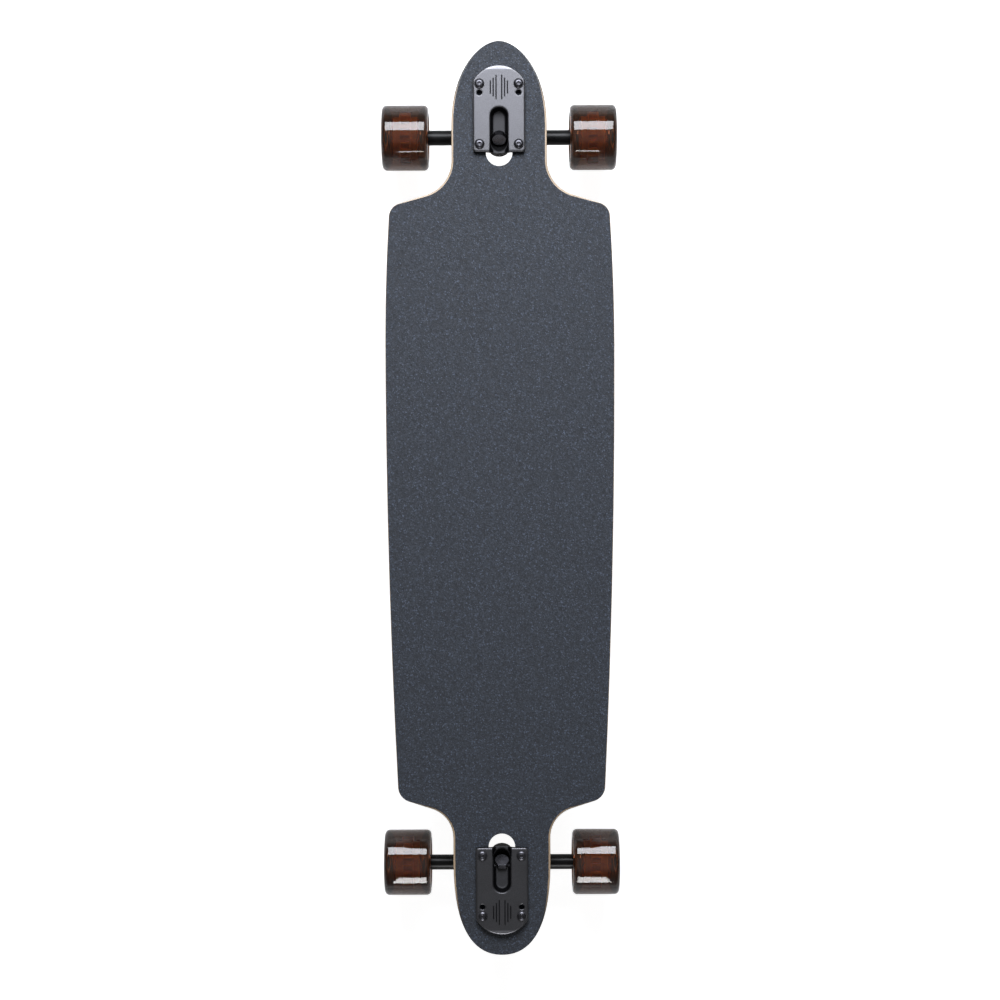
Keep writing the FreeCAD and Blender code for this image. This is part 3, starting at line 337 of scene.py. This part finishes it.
def piece(name, mesh, slot, finish=None):
    """An object for a finished mesh, in its slot's material or another, smooth except at its corners."""
    made = bpy.data.objects.new(name, mesh)
    scene.collection.objects.link(made)
    mesh.materials.clear()
    mesh.materials.append(finish or FINISHES[slot])
    mesh.shade_smooth()
    mesh.set_sharp_from_angle(angle=math.radians(40))
    return made


def rounded(corners, steps=5):
    """A closed half section from (radius, height, fillet, sides) corners, each fillet drawn as an arc.

    A corner with six sides lies on a hexagon of that radius across its flats, and one with none on a circle.
    """
    points = []
    for index, (radius, height, fillet, *sides) in enumerate(corners):
        corner = Vector((radius, height))
        if not fillet:
            points.append((corner, *sides))
            continue
        before = (Vector(corners[index - 1][:2]) - corner).normalized()
        after = (Vector(corners[(index + 1) % len(corners)][:2]) - corner).normalized()
        half = before.angle(after) / 2
        centre = corner + (before + after).normalized() * (fillet / math.sin(half))
        start = corner + before * (fillet / math.tan(half)) - centre
        end = corner + after * (fillet / math.tan(half)) - centre
        turn = start.angle_signed(end)
        for step in range(steps + 1):
            spot = Matrix.Rotation(-turn * step / steps, 2) @ start
            points.append((centre + spot, *sides))
    return points


def turned(corners, segments=96, steps=5):
    """A mesh turned about Z from a closed half section."""
    section = rounded(corners, steps)
    shape = bmesh.new()
    rings = []
    for index in range(segments):
        angle = 2 * math.pi * index / segments
        ring = []
        for point, *sides in section:
            half = math.pi / sides[0] if sides else 0
            radius = point.x / math.cos(angle % (2 * half) - half) if sides else point.x
            ring.append(shape.verts.new((radius * math.cos(angle), radius * math.sin(angle), point.y)))
        rings.append(ring)
    for index in range(segments):
        here, there = rings[index], rings[(index + 1) % segments]
        for k in range(len(section)):
            following = (k + 1) % len(section)
            shape.faces.new((here[k], there[k], there[following], here[following]))
    bmesh.ops.remove_doubles(shape, verts=shape.verts, dist=1e-7)
    bmesh.ops.recalc_face_normals(shape, faces=shape.faces)
    mesh = bpy.data.meshes.new("turned")
    shape.to_mesh(mesh)
    shape.free()
    return mesh


def moved(mesh, matrix):
    """A copy of a mesh in another place."""
    copy = mesh.copy()
    copy.transform(matrix)
    return copy


def baked(holder):
    """The evaluated mesh of an object, which is then removed."""
    mesh = bpy.data.meshes.new_from_object(holder.evaluated_get(bpy.context.evaluated_depsgraph_get()))
    bpy.data.objects.remove(holder)
    return mesh


def blocks(boxes, tilt=0.0):
    """A mesh of separate boxes, each from its middle and its sizes, all tilted about Y."""
    shape = bmesh.new()
    for middle, sizes in boxes:
        place = Matrix.Translation(middle) @ Matrix.Rotation(tilt, 4, "Y") @ Matrix.Diagonal((*sizes, 1))
        bmesh.ops.create_cube(shape, size=1.0, matrix=place)
    mesh = bpy.data.meshes.new("blocks")
    shape.to_mesh(mesh)
    shape.free()
    return mesh


def engraved(mesh, cutter):
    """A mesh with the cutter's blocks sunk into it."""
    holder = bpy.data.objects.new("engraved", mesh)
    tool = bpy.data.objects.new("cutter", cutter)
    for made in (holder, tool):
        scene.collection.objects.link(made)
    cut = holder.modifiers.new("cut", "BOOLEAN")
    cut.operation = "DIFFERENCE"
    cut.solver = "EXACT"
    cut.object = tool
    result = baked(holder)
    bpy.data.objects.remove(tool)
    return result


def cast(source, voxel, passes):
    """A node's solid with the soft edges and filled corners of a sand casting."""
    mesh = frame["nodes"][source].data.copy()
    shape = bmesh.new()
    shape.from_mesh(mesh)
    bmesh.ops.remove_doubles(shape, verts=shape.verts, dist=1e-6)
    shape.to_mesh(mesh)
    shape.free()
    holder = bpy.data.objects.new("casting", mesh)
    scene.collection.objects.link(holder)
    remesh = holder.modifiers.new("skin", "REMESH")
    remesh.mode = "VOXEL"
    remesh.voxel_size = voxel
    smooth = holder.modifiers.new("soften", "SMOOTH")
    smooth.factor = 0.5
    smooth.iterations = passes
    return baked(holder)


# Geometry Nodes for what repeats


def new_group(name, inputs):
    """A Geometry Nodes group with named inputs and a geometry output."""
    tree = bpy.data.node_groups.new(name, "GeometryNodeTree")
    tree.interface.new_socket("Geometry", in_out="OUTPUT", socket_type="NodeSocketGeometry")
    for label, kind in inputs.items():
        tree.interface.new_socket(label, in_out="INPUT", socket_type=f"NodeSocket{kind}")
    return tree, node(tree, "NodeGroupInput").outputs


def finish_group(tree, geometry, material):
    """End a group with real geometry in one material."""
    real = node(tree, "GeometryNodeRealizeInstances", {"Geometry": geometry})
    dressed = node(tree, "GeometryNodeSetMaterial", {"Geometry": real.outputs[0], "Material": material})
    node(tree, "NodeGroupOutput", {"Geometry": dressed.outputs[0]})
    return tree


def make_grid_group():
    """Copies of an item at the corners of a rectangle."""
    tree, given = new_group("copies_on_rectangle", {
        "Item": "Object", "Width": "Float", "Length": "Float", "Finish": "Material",
    })
    corners = node(tree, "GeometryNodeMeshGrid", {
        "Size X": given["Width"], "Size Y": given["Length"], "Vertices X": 2, "Vertices Y": 2,
    })
    item = node(tree, "GeometryNodeObjectInfo", {"Object": given["Item"]})
    copies = node(tree, "GeometryNodeInstanceOnPoints", {
        "Points": corners.outputs["Mesh"], "Instance": item.outputs["Geometry"],
    })
    return finish_group(tree, copies.outputs[0], given["Finish"])


def make_circle_group():
    """Copies of an item round a circle, each with its X axis outwards."""
    tree, given = new_group("copies_on_circle", {
        "Item": "Object", "Count": "Int", "Radius": "Float", "Finish": "Material",
    })
    circle = node(tree, "GeometryNodeMeshCircle", {"Vertices": given["Count"], "Radius": given["Radius"]})
    item = node(tree, "GeometryNodeObjectInfo", {"Object": given["Item"]})
    outwards = node(tree, "GeometryNodeInputPosition")
    aim = node(tree, "FunctionNodeAlignRotationToVector", {"Vector": outwards.outputs[0]},
               axis="X", pivot_axis="Z")
    copies = node(tree, "GeometryNodeInstanceOnPoints", {
        "Points": circle.outputs["Mesh"], "Instance": item.outputs["Geometry"], "Rotation": aim.outputs[0],
    })
    return finish_group(tree, copies.outputs[0], given["Finish"])


def make_thread_group():
    """A screw thread: a small ridge wound round Z."""
    tree, given = new_group("screw_thread", {
        "Radius": "Float", "Pitch": "Float", "Turns": "Float", "Finish": "Material",
    })
    height = node(tree, "ShaderNodeMath", {0: given["Pitch"], 1: given["Turns"]}, operation="MULTIPLY")
    winding = node(tree, "GeometryNodeCurveSpiral", {
        "Resolution": 48, "Rotations": given["Turns"], "Start Radius": given["Radius"],
        "End Radius": given["Radius"], "Height": height.outputs[0],
    })
    ridge_share = 0.36
    crest = node(tree, "ShaderNodeMath", {0: given["Pitch"], 1: ridge_share}, operation="MULTIPLY")
    ridge = node(tree, "GeometryNodeCurvePrimitiveCircle", {"Resolution": 6, "Radius": crest.outputs[0]})
    wound = node(tree, "GeometryNodeCurveToMesh", {
        "Curve": winding.outputs[0], "Profile Curve": ridge.outputs[0], "Fill Caps": True,
    })
    return finish_group(tree, wound.outputs[0], given["Finish"])


GRID_GROUP = make_grid_group()
CIRCLE_GROUP = make_circle_group()
THREAD_GROUP = make_thread_group()


def grown(group, slot, item=None, **values):
    """The mesh that a group makes with these values, of an item's mesh if it takes one."""
    holder = bpy.data.objects.new("grown", bpy.data.meshes.new("empty"))
    scene.collection.objects.link(holder)
    modifier = holder.modifiers.new("nodes", "NODES")
    values["Finish"] = FINISHES[slot]
    if item:
        values["Item"] = bpy.data.objects.new("item", item)
        scene.collection.objects.link(values["Item"])
    modifier.node_group = group
    for socket in group.interface.items_tree:
        if socket.in_out == "INPUT":
            modifier[socket.identifier] = values[socket.name]
    mesh = baked(holder)
    if item:
        bpy.data.objects.remove(values["Item"])
    return mesh


# Trucks

# The parts of a truck are drawn about the middle of its plate's top, and the bolts' parts about one bolt.
PLATE_AND_DECK = 17.3 * MM
CAST_VOXEL = 0.6 * MM
CAST_PASSES = 6
BUSHING_BORE = 4.91 * MM
SOFT_RIM = 1.4 * MM
KINGPIN_THREAD_Z = -28.75 * MM
AXLE_THREAD_X = 121.5 * MM
BOLT = turned([
    (0, -24.3 * MM, 0), (2.4 * MM, -24.3 * MM, 0.4 * MM), (2.4 * MM, 0, 0), (5.3 * MM, 0, 0.15 * MM),
    (5.3 * MM, 0.7 * MM, 0.3 * MM), (4.4 * MM, 1.7 * MM, 0.8 * MM), (3.3 * MM, 2.35 * MM, 1.2 * MM),
    (2.0 * MM, 2.6 * MM, 0.1 * MM), (1.6 * MM, 2.45 * MM, 0, 6), (1.6 * MM, 1.0 * MM, 0, 6), (0, 0.8 * MM, 0),
], segments=48, steps=3)
NUT = turned([
    (2.42 * MM, -PLATE_AND_DECK, 0), (4.55 * MM, -PLATE_AND_DECK, 0),
    (4.75 * MM, -PLATE_AND_DECK - 0.4 * MM, 0, 6), (4.75 * MM, -PLATE_AND_DECK - 3.6 * MM, 0, 6),
    (4.5 * MM, -PLATE_AND_DECK - 4.0 * MM, 0), (4.0 * MM, -PLATE_AND_DECK - 5.5 * MM, 0.8 * MM),
    (3.4 * MM, -PLATE_AND_DECK - 5.5 * MM, 0),
    (3.4 * MM, -PLATE_AND_DECK - 4.6 * MM, 0), (2.42 * MM, -PLATE_AND_DECK - 4.6 * MM, 0),
], segments=48, steps=3)
COLLAR = turned([
    (2.42 * MM, -PLATE_AND_DECK - 4.6 * MM, 0), (3.4 * MM, -PLATE_AND_DECK - 4.6 * MM, 0),
    (3.4 * MM, -PLATE_AND_DECK - 5.4 * MM, 0.2 * MM), (2.42 * MM, -PLATE_AND_DECK - 5.4 * MM, 0.2 * MM),
], segments=48, steps=3)

# A few straight lines on the plate's wide end, engraved as V grooves.
LINES = blocks([
    ((x * MM, 28 * MM, 0), (1.0 * MM, length * MM, 1.0 * MM))
    for x, length in ((-9, 14), (-6, 20), (-3, 26), (3, 26), (6, 20), (9, 14))
], tilt=math.pi / 4)
for end, truck in TRUCKS.items():
    swivel = truck @ SWIVEL
    plate = engraved(cast(f"{end}_baseplate", CAST_VOXEL, CAST_PASSES), moved(LINES, truck))
    hanger = cast(f"{end}_hanger", CAST_VOXEL, CAST_PASSES)
    for kind, mesh, body, finish in (
        ("baseplate", plate, "board", None), ("hanger", hanger, f"{end}_hanger", GLOSS_ENAMEL),
    ):
        made = piece(f"{end}_cast_{kind}", mesh, "truck_casting", finish)
        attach(made, body)
        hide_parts(f"{end}_{kind}")

    for kind, height, base, tip, seat, way in (
        ("boardside", 15.0 * MM, 12.5 * MM, 12.5 * MM, 3.5 * MM, 1),
        ("roadside", 13.0 * MM, 12.5 * MM, 9.5 * MM, -3.5 * MM, -1),
    ):
        bushing = turned([
            (BUSHING_BORE, seat, 0), (base, seat, SOFT_RIM),
            (tip, seat + way * height, SOFT_RIM), (BUSHING_BORE, seat + way * height, 0),
        ])
        bushing.transform(swivel @ Matrix.Translation((0, RING_DISTANCE, 0)))
        made = piece(f"{end}_{kind}_poured_bushing", bushing, "bushing_urethane")
        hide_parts(f"{end}_{kind}_bushing")
        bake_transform(made)

    cup = turned([
        (0, -17.9 * MM, 0), (6.2 * MM, -17.9 * MM, 0.6 * MM), (6.2 * MM, -10.1 * MM, 0.7 * MM),
        (4.1 * MM, -10.1 * MM, 0.9 * MM), (4.1 * MM, -16.9 * MM, 3.9 * MM), (0, -16.9 * MM, 0),
    ])
    cup.transform(swivel @ Matrix.Rotation(-math.pi / 2, 4, "X"))
    made = piece(f"{end}_moulded_pivot_cup", cup, "pivot_urethane")
    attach(made, "board")
    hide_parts(f"{end}_pivot_cup")

    for kind, item, slot, replaced in (
        ("socket_bolts", BOLT, "black_steel", "mounting_bolts"),
        ("lock_nuts", NUT, "black_steel", "mounting_nuts"),
        ("nut_collars", COLLAR, "cage_plastic", None),
    ):
        four = grown(GRID_GROUP, slot, item, Width=BOLT_ACROSS, Length=BOLT_ALONG)
        made = piece(f"{end}_{kind}", moved(four, truck), slot)
        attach(made, "board")
        if replaced:
            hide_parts(f"{end}_{replaced}")

    winding = grown(THREAD_GROUP, "black_steel", Radius=4.5 * MM, Pitch=1.05 * MM, Turns=2.0)
    winding.transform(swivel @ Matrix.Translation((0, RING_DISTANCE, KINGPIN_THREAD_Z)))
    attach(piece(f"{end}_kingpin_thread", winding, "black_steel"), "board")
    for side, sign in SIDES.items():
        winding = grown(THREAD_GROUP, "axle_steel", Radius=3.8 * MM, Pitch=0.8 * MM, Turns=1.4)
        tip = Matrix.Translation((sign * AXLE_THREAD_X, AXLE_Y[end], AXLE_Z))
        winding.transform(tip @ Matrix.Rotation(sign * math.pi / 2, 4, "Y"))
        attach(piece(f"{end}_{side}_axle_thread", winding, "axle_steel"), f"{end}_hanger")

# Wheels

LIP = 5.0 * MM
INNER_LIP = 1.0 * MM
HALF_WIDTH = 25.0 * MM
# Each cheek bows in from its rim, through the dish, to the foot on the core.
CHEEK, DISH, FOOT = Vector((27.0, 25.0)) * MM, Vector((21.0, 16.625)) * MM, Vector((14.6, 12.5)) * MM
CHEEK_STEPS = 12
bow = 2 * DISH - (CHEEK + FOOT) / 2
cheek = []
for step in range(1, CHEEK_STEPS):
    share = step / CHEEK_STEPS
    cheek.append((1 - share) ** 2 * CHEEK + 2 * share * (1 - share) * bow + share ** 2 * FOOT)
tyre = turned(
    [(*FOOT, 0)] + [(*point, 0) for point in reversed(cheek)]
    + [(*CHEEK, INNER_LIP), (WHEEL_RADIUS, HALF_WIDTH, LIP)]
    + [(WHEEL_RADIUS, -HALF_WIDTH, LIP), (CHEEK.x, -CHEEK.y, INNER_LIP)]
    + [(point.x, -point.y, 0) for point in cheek] + [(FOOT.x, -FOOT.y, 0)],
    segments=160, steps=8,
)
core = turned([
    (11.0 * MM, -12.5 * MM, 0.4 * MM), (15.0 * MM, -12.5 * MM, 0.4 * MM), (15.0 * MM, -6.0 * MM, 0),
    (18.5 * MM, -6.0 * MM, 0.5 * MM), (18.5 * MM, -4.6 * MM, 0.5 * MM), (14.9 * MM, -4.6 * MM, 0),
    (14.9 * MM, 4.6 * MM, 0), (18.5 * MM, 4.6 * MM, 0.5 * MM), (18.5 * MM, 6.0 * MM, 0.5 * MM),
    (15.0 * MM, 6.0 * MM, 0), (15.0 * MM, 12.5 * MM, 0.4 * MM), (11.0 * MM, 12.5 * MM, 0.4 * MM),
    (11.0 * MM, 5.0 * MM, 0),
    (9.6 * MM, 5.0 * MM, 0.3 * MM), (9.6 * MM, -5.0 * MM, 0.3 * MM), (11.0 * MM, -5.0 * MM, 0),
])
# Ribs stand between the core's two flanges.
rib = blocks([((0, 0, 0), (3.6 * MM, 1.8 * MM, 9.3 * MM))])
ribs = grown(CIRCLE_GROUP, "wheel_core", rib, Count=16, Radius=16.6 * MM)
for end in TRUCKS:
    for side, sign in SIDES.items():
        hub = Matrix.Translation((sign * WHEEL_X, AXLE_Y[end], AXLE_Z)) @ Matrix.Rotation(math.pi / 2, 4, "Y")
        made = piece(f"{end}_{side}_poured_tyre", moved(tyre, hub), "wheel_urethane")
        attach(made, f"{end}_{side}_wheel")
        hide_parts(f"{end}_{side}_tyre")
        made = piece(f"{end}_{side}_moulded_core", moved(core, hub), "wheel_core")
        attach(made, f"{end}_{side}_wheel")
        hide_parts(f"{end}_{side}_core")
        made = piece(f"{end}_{side}_core_ribs", moved(ribs, hub), "wheel_core")
        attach(made, f"{end}_{side}_wheel")

# The carried-over nodes take the same finishes, by their slots.
SLOTS = {part["node"]: part["material_slot"] for part in frame["record"]["subparts"]}
for name, carried in frame["nodes"].items():
    carried.data.materials.clear()
    carried.data.materials.append(FINISHES[SLOTS[name]])

# Stage


RAYS = ("diffuse", "glossy", "transmission")


def softbox(name, place, aim, width, depth, radiance, tint=(1, 1, 1), seen=RAYS):
    """A flat lamp that faces a point, given by its brightness to the eye and the rays that see it."""
    lamp = bpy.data.lights.new(name, "AREA")
    lamp.color = tint
    lamp.shape = "RECTANGLE"
    lamp.size = width
    lamp.size_y = depth
    lamp.energy = radiance * math.pi * width * depth
    made = bpy.data.objects.new(name, lamp)
    made.location = place
    made.rotation_euler = (Vector(aim) - Vector(place)).to_track_quat("-Z", "Y").to_euler()
    made.visible_camera = False
    for ray in RAYS:
        setattr(made, f"visible_{ray}", ray in seen)
    scene.collection.objects.link(made)


def polished_rays(tree):
    """The light path, and 1 for rays from polished or clear pieces."""
    path = node(tree, "ShaderNodeLightPath")
    either = node(tree, "ShaderNodeMath", {
        0: path.outputs["Is Transmission Ray"], 1: path.outputs["Is Glossy Ray"],
    }, operation="MAXIMUM")
    return path, either.outputs[0]


# The nose panel lights the board at a plain level. Only polished and clear pieces see the glints, which make the
# bright strips on the tyres and the sheen of the front plate.
NOSE, NOSE_AIM, NOSE_SIZE = (0, 1.2554, 1.4746), (0, 0.3491, 1.052), (1.2, 1.071)
COOL = (0.96, 0.985, 1.04)
softbox("nose_panel", NOSE, NOSE_AIM, *NOSE_SIZE, 13.0, COOL)
softbox("nose_glint", NOSE, NOSE_AIM, *NOSE_SIZE, 20.0, COOL, seen=("glossy", "transmission"))
softbox("tail_glint", (0, -2.2, 1.25), (0, 0, 1.25), 0.66, 1.05, 13.5, seen=("glossy",))

# The camera sees plain white. Polished and clear pieces see a white backdrop under a dim ceiling.
world = bpy.data.worlds.new("studio")
scene.world = world
world.use_nodes = True
sky = world.node_tree
FILL = (0.14, 0.14, 0.14, 1)
rays, polished = polished_rays(sky)
direction = node(sky, "ShaderNodeTexCoord").outputs["Generated"]
up = node(sky, "ShaderNodeSeparateXYZ", {"Vector": direction})
studio = blend_ramp(sky, up.outputs["Z"], [
    (0.05, "#ffffff"), (0.2, "#959595"), (0.4, "#505050"), (0.85, "#505050"), (0.97, "#aaaaaa"),
])
lit = node(sky, "ShaderNodeMix", {0: polished, 6: FILL, 7: studio}, data_type="RGBA")
shown = node(sky, "ShaderNodeMix", {0: rays.outputs["Is Camera Ray"], 6: lit.outputs[2], 7: (1, 1, 1, 1)},
             data_type="RGBA")
sky.links.new(shown.outputs[2], sky.nodes["Background"].inputs["Color"])

sheet = bmesh.new()
bmesh.ops.create_grid(sheet, x_segments=1, y_segments=1, size=8.0)
floor_mesh = bpy.data.meshes.new("floor")
sheet.to_mesh(floor_mesh)
sheet.free()
floor = bpy.data.objects.new("floor", floor_mesh)
# Low enough for the wheel that goes down when a truck leans.
FLOOR_DROP = 27 * MM
floor.location.z = -FLOOR_DROP
scene.collection.objects.link(floor)
paper = bpy.data.materials.new("white_paper")
paper.use_nodes = True
tree = paper.node_tree
tree.nodes.clear()
# Matt paper keeps the shadow. The glow brings it up to white, for the camera and in polished and clear pieces.
CAMERA_GLOW, POLISHED_GLOW = 0.93, 0.45
rays, polished = polished_rays(tree)
glow = node(tree, "ShaderNodeMath", {0: rays.outputs["Is Camera Ray"], 1: CAMERA_GLOW}, operation="MULTIPLY")
glow = node(tree, "ShaderNodeMath", {0: polished, 1: POLISHED_GLOW, 2: glow.outputs[0]}, operation="MULTIPLY_ADD")
glow = node(tree, "ShaderNodeEmission", {"Strength": glow.outputs[0]})
matt = node(tree, "ShaderNodeBsdfDiffuse", {"Color": (0.5, 0.5, 0.5, 1)})
both = node(tree, "ShaderNodeAddShader", {0: glow.outputs[0], 1: matt.outputs[0]})
# From below the paper is see-through, so that the underside can be looked at.
below = node(tree, "ShaderNodeNewGeometry").outputs["Backfacing"]
clear = node(tree, "ShaderNodeBsdfTransparent")
shown = node(tree, "ShaderNodeMixShader", {0: below, 1: both.outputs[0], 2: clear.outputs[0]})
node(tree, "ShaderNodeOutputMaterial", {"Surface": shown.outputs[0]})
floor_mesh.materials.append(paper)

# Straight down from above the middle of the deck.
CAMERA_PLACE = (-0.55 * MM, -2.28 * MM, 2.2945)
CAMERA_ROLL = math.radians(-0.23)
camera = bpy.data.cameras.new("camera")
camera.sensor_width = 36.0
camera.lens = 75.08
eye = bpy.data.objects.new("camera", camera)
eye.location = CAMERA_PLACE
eye.rotation_euler = (0, 0, CAMERA_ROLL)
scene.collection.objects.link(eye)
scene.camera = eye
scene.view_settings.view_transform = "Standard"
